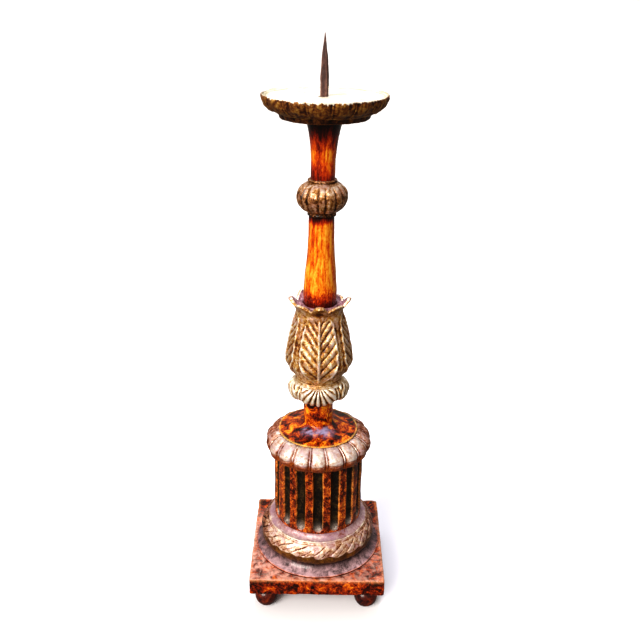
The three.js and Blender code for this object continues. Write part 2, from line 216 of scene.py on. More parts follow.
class Turned:
    """A turned block as a grid of points: rows along its outline, columns round its axis."""

    def __init__(self, node, outline, columns, *holes, axis=None):
        self.node = node
        self.holes = holes
        self.axis = axis  # (x, y), or None for the column's own axis, which leans a little
        self.low, self.high = levels(node)
        rows = np.array(outline.points)
        self.turned_radius = rows[:, :1]
        self.turned_height = rows[:, 1:]
        along = np.gradient(rows, axis=0)
        length = np.hypot(along[:, :1], along[:, 1:])
        self.outward = along[:, 1:] / length
        self.upward = -along[:, :1] / length
        steps = np.hypot(*np.diff(rows, axis=0).T)
        self.travelled = np.concatenate(([0], np.cumsum(steps)))[:, None]
        self.angle = np.linspace(0, 2 * math.pi, columns, endpoint=False)[None, :]
        blank = np.zeros((len(rows), columns))
        self.turn = self.angle + blank
        self.radius = self.turned_radius + blank
        self.height = self.turned_height + blank
        self.cut, self.edge, self.zone = blank.copy(), blank.copy(), blank.copy()

    def place(self):
        """Where each point is, from the foot of the block's axis."""
        return stacked(self.radius * np.sin(self.turn), -self.radius * np.cos(self.turn),
                       self.height)

    def front(self):
        """1 at the front of the block, and 0 at its sides and back."""
        return smooth(np.cos(self.turn), -0.1, 0.9)

    def carve(self, depth):
        """Cuts in at right angles to the outline."""
        self.radius = self.radius - depth * self.outward
        self.height = self.height - depth * self.upward
        self.cut = self.cut + depth

    def roughen(self, seed, *layers, where=1.0):
        """Leaves the surface uneven in (size, depth) layers, as a knife, gesso and wear do."""
        for number, (size, depth) in enumerate(layers, start=seed):
            self.carve(depth * where * wander(self.place(), size, number))

    def relief(self):
        """How far each point stands above (+) or below (-) what is around it, from -1 to 1."""
        spacing = 2 * math.pi * self.turned_radius.mean() / self.cut.shape[1]
        near = blurred(self.cut, round(3.2 / STEP), max(1, round(3.2 / spacing)))
        return np.clip((near - self.cut) / 0.9, -1, 1)

    def bores(self):
        """(radius, height, shift) rings of the holes, to go before and after the rows."""
        first, last = [], []
        for radius, start, end, middle in self.holes:
            shift = np.subtract(middle, self.axis or (0, 0))
            if start <= self.low:
                first.append((radius, 0, shift))
            else:
                last.append((radius, start - self.low, shift))
            if end >= self.high:
                last.insert(0, (radius, self.turned_height[-1, 0], shift))
            else:
                first.insert(0, (radius, end - self.low, shift))
        return first, last

    def build(self, name, material, smooth_angle=50):
        """The block's finished mesh, closed and drilled, in place of its CAD node."""
        first, last = self.bores()
        through = len(first) == len(last) == 1
        through = through or bool(first and last and first[0][1] == last[-1][1])
        columns = self.angle.shape[1]
        around = stacked(np.sin(self.turn[0]), -np.cos(self.turn[0]))
        body = self.place()
        if self.axis is None:
            body[..., 0] += lean(body[..., 2] + self.low)
        rings = [[np.column_stack([radius * around + shift, np.full(columns, height)])
                  for radius, height, shift in hole] for hole in (first, last)]
        rings = rings[0] + list(body) + rings[1]
        points = np.concatenate(rings) + (*(self.axis or (0, 0)), self.low)
        faces = []
        for i in range(len(rings) if through else len(rings) - 1):
            lower, upper = i * columns, (i + 1) % len(rings) * columns
            faces += [(lower + j, lower + (j + 1) % columns, upper + (j + 1) % columns, upper + j)
                      for j in range(columns)]
        if not through:
            faces.append(range(columns)[::-1])
            faces.append(range(len(points) - columns, len(points)))
        mesh = bpy.data.meshes.new(name)
        mesh.from_pydata((points * MM).tolist(), [], faces)
        for mark, values in (("relief", self.relief()), ("edge", self.edge),
                             ("zone", self.zone)):
            values = np.pad(values, ((len(first), len(last)), (0, 0)), mode="edge")
            layer = mesh.attributes.new(mark, "FLOAT", "POINT")
            layer.data.foreach_set("value", values.ravel().astype(np.float32))
        mesh.shade_smooth()
        mesh.set_sharp_from_angle(angle=math.radians(smooth_angle))
        mesh.materials.append(material)
        shown = bpy.data.objects.new(name, mesh)
        bpy.context.scene.collection.objects.link(shown)
        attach(shown, "root")
        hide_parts(self.node)
        return shown


def lobes(angle, count, first=0.0, stray=0.0, seed=0):
    """Which lobe each angle is in, and where in it: -1 and 1 at its sides, 0 in its middle."""
    pitch = 2 * math.pi / count
    shifts = np.random.default_rng(seed).uniform(-stray, stray, count) * pitch
    sides = first + (np.arange(count) - 0.5) * pitch + shifts
    sides = np.append(sides, sides[0] + 2 * math.pi)
    place = np.interp(sides[0] + np.mod(angle - sides[0], 2 * math.pi), sides,
                      np.arange(count + 1))
    number = np.minimum(np.floor(place).astype(int), count - 1)
    return number, 2 * (place - number) - 1


# ---------------- paints


def colour(text):
    """A colour given as rrggbb, in the linear values that a shader takes."""
    parts = [int(text[i:i + 2], 16) / 255 for i in (0, 2, 4)]
    linear = [p / 12.92 if p <= 0.04045 else ((p + 0.055) / 1.055) ** 2.4 for p in parts]
    return (*linear, 1.0)


class Paint:
    """One material, with short names for the nodes that it is made of."""

    def __init__(self, name, specular=0.5, coat=0.0, coat_roughness=0.03):
        self.material = bpy.data.materials.new(name)
        self.material.use_nodes = True
        self.tree = self.material.node_tree
        self.shader = self.tree.nodes["Principled BSDF"].inputs
        self.feed(self.shader, {"Specular IOR Level": specular, "Coat Weight": coat,
                                "Coat Roughness": coat_roughness})
        self.place = self.add("ShaderNodeTexCoord").outputs["Object"]

    def add(self, kind, inputs=(), **settings):
        """A new node with its settings made and its inputs fed."""
        node = self.tree.nodes.new(kind)
        for key, value in settings.items():
            setattr(node, key, value)
        self.feed(node.inputs, inputs)
        return node

    def feed(self, sockets, inputs):
        """Links each named socket to another node's output, or sets its value or colour."""
        for key, value in dict(inputs).items():
            if isinstance(value, bpy.types.NodeSocket):
                self.tree.links.new(value, sockets[key])
            else:
                sockets[key].default_value = colour(value) if isinstance(value, str) else value

    def mark(self, name):
        return self.add("ShaderNodeAttribute", attribute_name=name).outputs["Fac"]

    def noise(self, size, detail=5, roughness=0.7, warp=1.0, stretch=1.0, shift=0.0):
        """Noise from 0 to 1, `size` millimetres across, and `stretch` times longer upright."""
        mapping = self.add("ShaderNodeMapping", {
            "Vector": self.place, "Scale": (1, 1, 1 / stretch),
            "Location": (shift, 0.7 * shift, 1.3 * shift)})
        node = self.add("ShaderNodeTexNoise", {
            "Vector": mapping.outputs["Vector"], "Scale": 1 / (size * MM), "Detail": detail,
            "Roughness": roughness, "Distortion": warp})
        return node.outputs["Fac"]

    def cracks(self, size):
        """Distance from a net of fine cracks whose cells are `size` millimetres across."""
        node = self.add("ShaderNodeTexVoronoi",
                        {"Vector": self.place, "Scale": 1 / (size * MM)},
                        feature="DISTANCE_TO_EDGE")
        return node.outputs["Distance"]

    def maths(self, operation, a, b):
        node = self.add("ShaderNodeMath", {0: a, 1: b}, operation=operation)
        return node.outputs["Value"]

    def times(self, a, b):
        return self.maths("MULTIPLY", a, b)

    def total(self, *terms):
        """The sum of (value, weight) terms and of plain numbers."""
        result = 0.0
        for term in terms:
            if isinstance(term, tuple):
                term = self.times(*term)
            result = self.maths("ADD", term, result)
        return result

    def span(self, value, low, high, start=0.0, end=1.0):
        """Maps low..high to start..end, with no overshoot."""
        node = self.add("ShaderNodeMapRange", {
            "Value": value, "From Min": low, "From Max": high, "To Min": start, "To Max": end})
        return node.outputs["Result"]

    def ramp(self, value, *stops):
        """A colour ramp of (position, rrggbb) stops."""
        node = self.add("ShaderNodeValToRGB", {"Fac": value})
        elements = node.color_ramp.elements
        while len(elements) < len(stops):
            elements.new(0.5)
        for element, (position, text) in zip(elements, stops):
            element.position = position
            element.color = colour(text)
        return node.outputs["Color"]

    def mix(self, share, a, b):
        """Colour a, with a share of colour b."""
        node = self.add("ShaderNodeMix", {"Factor": share, 6: a, 7: b}, data_type="RGBA")
        return node.outputs[2]

    def height(self):
        """Height above the table, in millimetres."""
        split = self.add("ShaderNodeSeparateXYZ", {"Vector": self.place})
        return self.times(split.outputs["Z"], 1 / MM)

    def facing_up(self):
        """1 where the surface faces up, 0 where it is upright or faces down."""
        normal = self.add("ShaderNodeNewGeometry").outputs["Normal"]
        split = self.add("ShaderNodeSeparateXYZ", {"Vector": normal})
        return self.span(split.outputs["Z"], 0.25, 0.95)

    def finish(self, base, grain, smoothest, roughest, depth, *lumps, metallic=0.0):
        """Connects the colour, a roughness that follows the grain, and the lumps as a bump.

        The bump is `depth` millimetres deep, and lumps are (value, weight) terms.
        """
        uneven = self.add("ShaderNodeBump", {
            "Strength": 1.0, "Distance": depth * MM, "Height": self.total(*lumps)})
        self.feed(self.shader, {
            "Base Color": base, "Metallic": metallic, "Normal": uneven.outputs["Normal"],
            "Roughness": self.span(grain, 0.3, 0.7, smoothest, roughest)})
        return self.material


def tortoiseshell(name, glow=0.0, depth=1.7, size=13, dust_and_sheen="b98a86", dust_and_sheen_share=0.45, rub_and_glint_colour="ee9440"):
    """Glossy varnish mottled dark brown, red, orange and amber, its edges rubbed and painted with
    highlights, and veiled where it faces up.
    """
    paint = Paint(name, specular=0.15, coat=0.55, coat_roughness=0.15)
    clouds = paint.noise(size, detail=7, warp=0.9)
    specks = paint.noise(3.2, warp=1.2, shift=2.0)
    relief = paint.mark("relief")
    shade = paint.total((clouds, depth), (specks, 1.1), (relief, 0.16),
                        -0.07 - depth / 2 + glow)
    base = paint.ramp(shade, (0.18, "140704"), (0.34, "3a0f06"), (0.47, "7d2408"),
                      (0.6, "b8480c"), (0.74, "de7c14"), (0.9, "f8b430"))
    # Along the edges: rubbed wear and a painted highlight.
    rubbed_and_glint = paint.times(paint.mark("edge"), paint.span(specks, 0.36, 0.56, 0.25, 1.0))
    base = paint.mix(rubbed_and_glint, base, rub_and_glint_colour)
    worn = paint.noise(9, detail=4, roughness=0.6, warp=0.5, shift=5.0)
    # The veil where the varnish faces up is partly dust and partly a painted reflection of the
    # bright room above; the zone mark keeps it off.
    veil = paint.times(paint.facing_up(), paint.span(worn, 0.4, 0.62, 0.1 * dust_and_sheen_share, dust_and_sheen_share))
    veil = paint.times(veil, paint.span(paint.mark("zone"), 0, 1, 1, 0))
    base = paint.mix(veil, base, dust_and_sheen)
    crazed = paint.span(paint.cracks(2.6), 0.0, 0.05)
    return paint.finish(base, specks, 0.22, 0.5, 0.35, (worn, 1.0), (specks, 0.35),
                        (crazed, 0.1))


def fluted_varnish(name):
    """Dark varnish in the flutes, tortoiseshell fillets, and pale painted highlights at the
    flutes' feet.
    """
    paint = Paint(name, specular=0.2, coat=0.5, coat_roughness=0.2)
    clouds = paint.noise(12, detail=6, roughness=0.66, warp=0.9)
    specks = paint.noise(2.8, warp=1.3, shift=3.0)
    shade = paint.total((clouds, 1.5), (specks, 1.3), -0.92)
    fillet = paint.ramp(shade, (0.25, "1c0a05"), (0.4, "5c1a08"), (0.52, "a04014"),
                        (0.66, "cc6a20"), (0.85, "eca440"))
    hollow = paint.ramp(shade, (0.3, "100a06"), (0.5, "22170c"), (0.78, "4c3a1c"))
    inside = paint.span(paint.mark("relief"), -0.25, 0.1)
    base = paint.mix(inside, hollow, fillet)
    # Along the arrises: rubbed wear and a painted highlight.
    rubbed_and_glint = paint.times(paint.mark("edge"),
                         paint.span(paint.total((specks, 1.0), (clouds, 0.7)), 0.68, 0.98,
                                    0.12, 1.0))
    base = paint.mix(rubbed_and_glint, base, "e8a458")
    # The pale patches in the flutes' feet are painted highlights.
    flute_foot_highlight = paint.times(paint.mark("zone"),
                        paint.span(paint.total((specks, 1.0), (clouds, 0.6)), 0.66, 0.95,
                                   0.3, 1.0))
    base = paint.mix(flute_foot_highlight, base, "b0a098")
    return paint.finish(base, specks, 0.28, 0.55, 0.35, (clouds, 0.7), (specks, 0.5))


def streaked_varnish(name, low, high, dark_above, glow, foot=0.4):
    """Clear orange-red varnish in upright streaks, dark near the shaft's ends."""
    paint = Paint(name, specular=0.2, coat=0.6, coat_roughness=0.12)
    streaks = paint.noise(3.6, detail=6, roughness=0.68, warp=0.4, stretch=8)
    clouds = paint.noise(16, detail=3, roughness=0.5, warp=0.0, stretch=1.8, shift=4.0)
    specks = paint.noise(2.4, detail=4, roughness=0.65, stretch=2.2, shift=8.0)
    level = paint.height()
    from_top = paint.maths("SUBTRACT", high, level)
    from_foot = paint.maths("SUBTRACT", level, low)
    drips = 1.2 * dark_above
    top_shade = paint.span(paint.total((from_top, 1.0), (streaks, drips), -drips / 2), 0.0,
                           dark_above, 0.11, 1.0)
    foot_shade = paint.span(paint.total((from_foot, 1.0), (specks, 30.0), -15.0), 0.0, 18.0,
                            foot, 1.0)
    rise = paint.span(level, low, high)
    middle = paint.times(rise, paint.maths("SUBTRACT", 1.0, rise))
    shade = paint.total((streaks, 1.3), (clouds, 0.5), (specks, 0.5), (middle, 0.6),
                        -0.7 + glow)
    shade = paint.times(shade, paint.times(top_shade, foot_shade))
    base = paint.ramp(shade, (0.04, "140503"), (0.2, "481004"), (0.34, "8c2204"),
                      (0.48, "c44604"), (0.62, "e4820f"), (0.78, "f4b640"))
    return paint.finish(base, specks, 0.2, 0.42, 0.3, (streaks, 0.8), (specks, 0.4))


def gilding(name, deep, bole, gold, pale, white="f4ead8", lustre=0.5, polish=0.0, contrast=0.3,
            up=0.16, grain=1.0, blush="a87c80", blushed=0.4,
            other=("2c1418", "7d5560", "c39aa0")):
    """Leaf over bole: grime in the cuts, leaf on the rounds, and pale gesso where it is worn.

    `blush` is the colour of the stained patches, and `other` are those of the marked zone, which
    isn't gilded.
    """
    paint = Paint(name, specular=0.3, coat=0.3, coat_roughness=0.22)
    wear = paint.noise(6, detail=6, warp=0.8)
    specks = paint.noise(1.9, roughness=0.72, shift=6.0)
    patches = paint.noise(20, detail=3, roughness=0.5, warp=0.6, shift=11.0)
    # The up term paints faces that look up lighter: painted light from above. The edge mark
    # carries painted light and shade set on each block.
    shade = paint.total((paint.mark("relief"), contrast), (wear, 1.1 * grain),
                        (specks, 0.9 * grain), (paint.facing_up(), up), (patches, 0.6),
                        (paint.mark("edge"), 0.3), 0.16 - grain + polish)
    base = paint.ramp(shade, (0.12, deep), (0.3, bole), (0.48, gold), (0.7, pale),
                      (0.92, white))
    stains = paint.noise(11, detail=4, roughness=0.55, warp=0.8, shift=17.0)
    stained = paint.total((stains, 1.0), (wear, 0.4))
    share = paint.times(paint.span(stained, 0.66, 0.82, 0.0, blushed),
                        paint.span(shade, 0.32, 0.55))
    base = paint.mix(share, base, blush)
    inner = paint.mark("zone")
    base = paint.mix(inner, base, paint.ramp(paint.total((wear, 0.9), (specks, 0.6), -0.25),
                                             (0.2, other[0]), (0.5, other[1]),
                                             (0.8, other[2])))
    metal = paint.times(paint.span(shade, 0.2, 0.5, 0.1, lustre),
                        paint.span(inner, 0, 1, 1, 0.1))
    return paint.finish(base, specks, 0.26, 0.5, 0.6, (wear, 0.7), (specks, 0.6),
                        metallic=metal)


def dusky_varnish(name, veil="8f8490", amount=0.6, glow=0.0):
    """Dark red-brown varnish with a grey-purple veil where it faces up: partly hazed varnish,
    partly a painted reflection.
    """
    paint = Paint(name, specular=0.2, coat=0.5, coat_roughness=0.2)
    clouds = paint.noise(12, detail=6, roughness=0.66, warp=1.1)
    specks = paint.noise(2.6, shift=3.0)
    shade = paint.total((clouds, 1.1), (specks, 0.5), (paint.mark("edge"), 0.35),
                        -0.4 + glow)
    base = paint.ramp(shade, (0.2, "120708"), (0.42, "2e1212"), (0.6, "5e2216"),
                      (0.78, "a0481c"), (0.95, "d8863c"))
    # The veil where the varnish faces up is partly hazed varnish and partly a painted reflection
    # of the bright room above.
    bloom_and_sheen = paint.times(paint.facing_up(),
                        paint.span(paint.total((clouds, 1.0), (specks, 0.5)), 0.6, 0.86, 0.15,
                                   amount))
    # The zone mark scales it: on the hollow moulding this is painted light, strongest at the
    # front.
    bloom_and_sheen = paint.times(bloom_and_sheen, paint.span(paint.mark("zone"), 0, 0.9, 0.35, 1.0))
    base = paint.mix(bloom_and_sheen, base, veil)
    return paint.finish(base, specks, 0.22, 0.48, 0.4, (clouds, 0.8), (specks, 0.4))


def pan_sheen_and_gilding(name):
    """A pale stained top, its near-white a painted reflection of the bright sky, and dark carved
    gilding below a ragged line at the rim.
    """
    paint = Paint(name, coat=0.12, coat_roughness=0.3)
    wear = paint.noise(6, roughness=0.65, warp=0.8)
    specks = paint.noise(1.6, shift=6.0)
    ragged = paint.noise(3.4, detail=4, roughness=0.6, warp=0.6, stretch=2.5, shift=1.0)
    stains = paint.noise(26, detail=4, roughness=0.6, shift=9.0)
    edge = paint.mark("edge")
    side = paint.ramp(paint.total((paint.mark("relief"), 0.26), (wear, 1.1), (specks, 0.9),
                                  (edge, 0.2), -0.56),
                      (0.1, "200e06"), (0.3, "4c2410"), (0.48, "8a5420"), (0.64, "b0843a"),
                      (0.82, "dcb880"), (0.97, "f6ead0"))
    # The top's near-white is a painted reflection of the bright sky, with stains on it.
    top = paint.ramp(paint.total((stains, 1.1), (specks, 0.5), (edge, 0.7), -0.3),
                     (0.0, "6e6a56"), (0.25, "cabf9e"), (0.42, "e2d9c6"), (0.6, "e8e1d6"),
                     (0.85, "d4b4a8"))
    limit = paint.total((paint.mark("zone"), 1.0), (ragged, 2.0), -1.0)
    base = paint.mix(paint.span(limit, 0.46, 0.56), side, top)
    metal = paint.span(limit, 0.4, 0.5, 0.35, 0.0)
    return paint.finish(base, specks, 0.4, 0.65, 0.6, (wear, 0.7), (specks, 0.6),
                        metallic=metal)


def rusty_iron(name):
    """Hand-forged iron under fine dark rust."""
    paint = Paint(name)
    scale = paint.noise(5, warp=0.6, stretch=3)
    pits = paint.noise(1.3, roughness=0.75, warp=0.0, shift=4.0)
    shade = paint.total((scale, 0.8), (pits, 0.6), (paint.mark("edge"), 0.25), -0.22)
    base = paint.ramp(shade, (0.2, "2a1a18"), (0.45, "4c3531"), (0.62, "6e5048"),
                      (0.85, "9a7a6c"))
    return paint.finish(base, pits, 0.42, 0.72, 0.4, (scale, 0.6), (pits, 0.7),
                        metallic=paint.span(shade, 0.3, 0.8, 0.25, 0.7))


def bare_wood(name):
    """Plain softwood with upright grain, for the hidden dowels."""
    paint = Paint(name)
    grain = paint.noise(1.6, roughness=0.6, warp=0.4, stretch=14)
    base = paint.ramp(grain, (0.3, "8a6238"), (0.5, "b88d58"), (0.7, "d4b07c"))
    return paint.finish(base, grain, 0.6, 0.8, 0.2, (grain, 1.0))


# ---------------- feet and plinth


def ball_feet(material):
    """Four turned ball feet, each a little uneven in its own way."""
    flat = 5.5
    neck = 8.0
    for seed, corner in enumerate(FEET, start=3):
        node = f"ball_foot_{corner}"
        near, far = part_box(node)
        centre = ((near.x + far.x) / 2 / MM, (near.y + far.y) / 2 / MM)
        radius = (far.x - near.x) / 2 / MM
        start = -math.acos(flat / radius)
        stop = math.acos(neck / radius)
        outline = Outline(flat, 0).follow(lambda t: (
            radius * math.cos(start + (stop - start) * t),
            radius * (math.sin(start + (stop - start) * t) - math.sin(start))))
        outline.line(neck, (far.z - near.z) / MM)
        foot = Turned(node, outline, 96, bore(f"foot_dowel_{corner}"), axis=centre)
        foot.roughen(seed, (9, 0.35), where=smooth(foot.turned_height, 0, 3))
        foot.build(f"foot_{corner}", material)


def plinth_slab(material):
    """The square slab, its edges rounded and dented by use."""
    node = "plinth"
    _, height = measured(node)
    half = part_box(node)[1].x / MM
    edge = 1.5
    outline = Outline(half - 30, 0).line(half - edge, 0).curve((half, 0), (half, edge))
    outline.line(half, height - edge).curve((half, height), (half - edge, height))
    outline.line(26, height)
    slab = Turned(node, outline, 640, bore("base_dowel"))
    # The columns are evenly spaced along the four sides of a square with round corners.
    along = 2 * np.mod(slab.angle / QUARTER + 0.5, 1) - 1
    slab.turn = slab.turn + np.arctan(along) - along * math.pi / 4
    sharpness = 75
    slab.radius = slab.radius * (np.abs(np.sin(slab.turn)) ** sharpness
                                 + np.abs(np.cos(slab.turn)) ** sharpness) ** (-1 / sharpness)
    z = slab.turned_height
    near_edge = bump(slab.turned_radius, half, 4.5) * bump(np.minimum(z, height - z), 0, 4.5)
    dents = near_edge * np.clip(wander(slab.place(), 9, 3) - 0.15, 0, 1)
    slab.carve(1.2 * dents)
    slab.edge += (0.7 * near_edge + 0.6 * dents) * (z > height / 2)
    x, y, _ = np.moveaxis(slab.place(), -1, 0)
    slab.zone += smooth(y, 15, 70) + 0.4 * smooth(x, 0, 60)  # less of the pale veil towards the back, and towards the right: painted shade on the side away from the light
    raised = smooth(z, 0, 3)
    slab.roughen(1, (22, 0.25), where=raised)
    slab.roughen(2, (7, 0.25), where=raised * smooth(slab.turned_radius, half - 6, half))
    shown = slab.build("plinth_slab", material)
    for corner in FEET:
        drill(shown, f"foot_dowel_{corner}")


def drill(shown, dowel):
    """Cuts the socket for a dowel out of a finished mesh."""
    radius, start, end, (x, y) = bore(dowel)
    bpy.ops.mesh.primitive_cylinder_add(
        vertices=48, radius=radius * MM, depth=(end - start) * MM,
        location=(x * MM, y * MM, (start + end) / 2 * MM))
    bit = bpy.context.object
    cut = shown.modifiers.new("socket", "BOOLEAN")
    cut.operation = "DIFFERENCE"
    cut.solver = "EXACT"
    cut.object = bit
    bpy.context.view_layer.objects.active = shown
    bpy.ops.object.modifier_apply(modifier=cut.name)
    bpy.data.objects.remove(bit)


# ---------------- base mouldings


def cavetto(material):
    """The hollow moulding on the plinth, with a thin, lighter rim."""
    node = "cavetto_disc"
    radius, height = measured(node)
    rim = 2.6
    outline = Outline(radius - 0.8, 0).curve((radius, 0), (radius, 0.8)).line(radius, rim - 0.6)
    outline.curve((radius, rim), (radius - 0.8, rim)).line(radius - 1.6, rim + 0.2)
    outline.curve((radius - 9.5, rim + 2.2), (radius - 11.5, height))
    disc = Turned(node, outline, 400, bore("base_dowel"))
    disc.edge += 1.6 * bump(disc.turned_height, rim - 0.4, 0.8)
    # Painted light: the zone mark makes the pale cover strongest at the front and faint at the
    # sides, as the light falls.
    disc.zone += disc.front() ** 2
    disc.roughen(11, (16, 0.35), (4, 0.12))
    disc.build("cavetto_moulding", material)


def leaf_torus(material):
    """The fat round moulding: slanting leaves, a cut edge below them, and a bead on top."""
    node = "leaf_torus"
    radius, height = measured(node)
    bead = 60.4
    outline = Outline(radius - 4.5, 0).curve((radius + 0.4, 0.6), (radius, 9.5))
    outline.curve((radius, 20.5), (bead + 1.6, height - 1.7)).line(bead + 1.3, height - 1.9)
    outline.curve((bead + 1.2, height), (bead, height)).line(bead - 1.2, height - 0.2)
    torus = Turned(node, outline, 640, bore("base_dowel"))
    z = torus.turned_height
    leaf_foot = 11.5
    rise = np.clip((z - leaf_foot + 2) / (height - leaf_foot), 0, 1)
    place = torus.place()
    sway = 0.05 * wander(place, 15, 24)
    _, across = lobes(torus.angle - 0.34 * rise ** 1.5 + sway, TORUS_LEAVES,
                      stray=0.14, seed=5)
    ragged = leaf_foot + 2.2 * np.abs(across) ** 2 + 1.2 * wander(place, 5, 23)
    field = band(z, ragged - 0.4, ragged + 0.8, height - 4.2, height - 3.0)
    lap = (across + 1) / 2
    main = ridge(1 - np.abs(across), 0.075)
    rib = ridge(across - 0.1, 0.06) * smooth(1 - rise, 0.1, 0.5)
    torus.carve(field * (0.5 * lap + 1.0 * main + 0.6 * rib))
    torus.edge -= field * np.clip(1.1 * main + 0.8 * rib, 0, 1.2)
    below = 1 - smooth(z, ragged - 1.2, ragged + 0.2)
    torus.carve(0.7 * below)
    torus.zone += below
    torus.carve(0.7 * bump(z, height - 2.6, 0.8) * (torus.turned_radius > bead + 1))
    # Painted light: the front is painted lighter and the sides and back darker, as the light
    # falls on them; the top of the bead is lighter too.
    torus.edge += bump(z, height - 0.4, 0.7) * 0.7 + 1.1 * torus.front() - 0.6
    torus.roughen(21, (10, 0.5), (3.2, 0.28))
    torus.build("carved_torus", material)


def drum_foot(material):
    """The smooth ring that spreads from the drum."""
    node = "drum_foot_ring"
    radius, height = measured(node)
    drum = reach("fluted_drum")
    outline = Outline(radius, 0).curve((drum + 1.2, 1.6), (drum, height))
    ring = Turned(node, outline, 400, bore("base_dowel"))
    ring.roughen(31, (12, 0.3))
    ring.build("spreading_ring", material)


def fluted_drum(material):
    """The drum: upright flutes cut by hand, with round feet, and arrises rubbed and painted with
    highlights.
    """
    node = "fluted_drum"
    radius, height = measured(node)
    outline = Outline(radius, 0).line(radius, height)
    drum = Turned(node, outline, 640, bore("base_dowel"), bore("drum_dowel"))
    z = drum.turned_height
    number, across = lobes(drum.angle, FLUTES, stray=0.035, seed=8)
    rng = np.random.default_rng(9)
    starts = (1.4 + rng.uniform(-0.5, 0.9, FLUTES))[number]
    widths = (0.56 + rng.uniform(-0.03, 0.03, FLUTES))[number]
    across = across + 0.05 * wander(stacked(number * 40.0, z, 0.0), 26, 7)
    foot = np.clip((starts + 6.5 - z) / 6.5, 0, None)
    inside = 1 - (across / widths) ** 2 - foot ** 2
    depth = np.sqrt(np.clip(inside, 0, 1))
    drum.carve(5.0 * depth)
    rim = np.abs(np.abs(across) - widths)
    # Painted highlight: a bright line along each arris, brighter on the side that faces the
    # light.
    lit = np.where(across < 0, 0.6, 1.0)
    drum.edge += lit * ridge(rim, 0.035) * smooth(z, starts + 3, starts + 9)
    # Painted highlight: the zone mark paints the round feet of the flutes pale, where they catch
    # the light.
    drum.zone += (depth > 0.05) * np.clip((starts + 14 - z) / 14, 0, 1) ** 1.6
    drum.roughen(41, (14, 0.4), (3.5, 0.16))
    drum.build("fluted_column_drum", material, 75)


def gadroons(material):
    """The ring of fat lobes over the drum, with a thin dart between each two."""
    node = "gadroon_ring"
    radius, height = measured(node)
    cap = reach("cap_dome")
    outline = Outline(radius - 9, 0).curve((radius - 0.5, 1.4), (radius, 11))
    outline.curve((radius, 20), (radius - 12, height - 0.8)).line(cap - 1.0, height)
    ring = Turned(node, outline, 720, bore("drum_dowel"))
    s = ring.travelled / ring.travelled.max()
    number, across = lobes(ring.angle, GADROONS, stray=0.05, seed=14)
    lobe_side = 0.84
    side = np.abs(across) / lobe_side
    crown = np.sqrt(np.clip(1 - side ** 2.6, 0, 1))
    dart = smooth(np.abs(across), lobe_side, 1.0)
    z = ring.turned_height
    fade = smooth(s, 0.1, 0.32) * (1 - 0.5 * smooth(s, 0.72, 1.0))
    ring.carve(fade * (3.4 * (1 - crown) - 2.3 * dart))
    swell = np.random.default_rng(15).uniform(-0.2, 0.7, GADROONS)[number]
    ring.carve(-swell * fade * (1 - across ** 2) * bump(s, 0.4, 0.35))
    lower_edge = 10.5 + 2.5 * np.abs(across) ** 2.5 + 1.8 * wander(ring.place(), 6, 53)
    ring.carve(0.8 * bump(z, lower_edge, 1.2) * (s < 0.5))
    lip = (1 - smooth(z, lower_edge - 3.0, lower_edge + 4.0)) * (s < 0.5)
    ring.carve(0.8 * lip * np.abs(across) ** 2)
    ring.zone += lip
    ring.edge += 1.4 * ring.front() - 0.85  # painted light: the front is painted lighter, the sides and back darker
    ring.roughen(51, (9, 0.55), (3, 0.3))
    ring.build("gadrooned_ring", material, 75)


def cap_dome(material):
    """The low dome with a thin bright rim, sweeping up to the neck."""
    node = "cap_dome"
    radius, height = measured(node)
    neck = 17.3
    rim = 2.0
    outline = Outline(radius - 1.2, 0).curve((radius, 0.1), (radius, 1.0))
    outline.curve((radius, rim), (radius - 1.0, rim)).line(radius - 2.2, rim - 0.1)
    outline.line(radius - 3.0, rim + 0.7)
    outline.curve((radius - 16, 4.8), (neck + 1.0, 10.0)).curve((neck, 10.6), (neck, 12.5))
    outline.line(neck, height)
    cap = Turned(node, outline, 384, bore("drum_dowel"), bore("neck_dowel"))
    cap.edge += bump(cap.turned_height, rim - 0.6, 1.0) * (cap.turned_radius > radius - 2)
    # A painted reflection: the pale bluish veil lies only in front of the neck, standing in for
    # the sky's reflection there.
    cap.zone += 1 - bump(cap.turned_radius, neck + 7, 11) * smooth(np.cos(cap.turn), 0.55, 0.92)
    cap.roughen(61, (18, 0.35), (5, 0.12))
    cap.build("dome_and_neck", material)


# ---------------- leaves


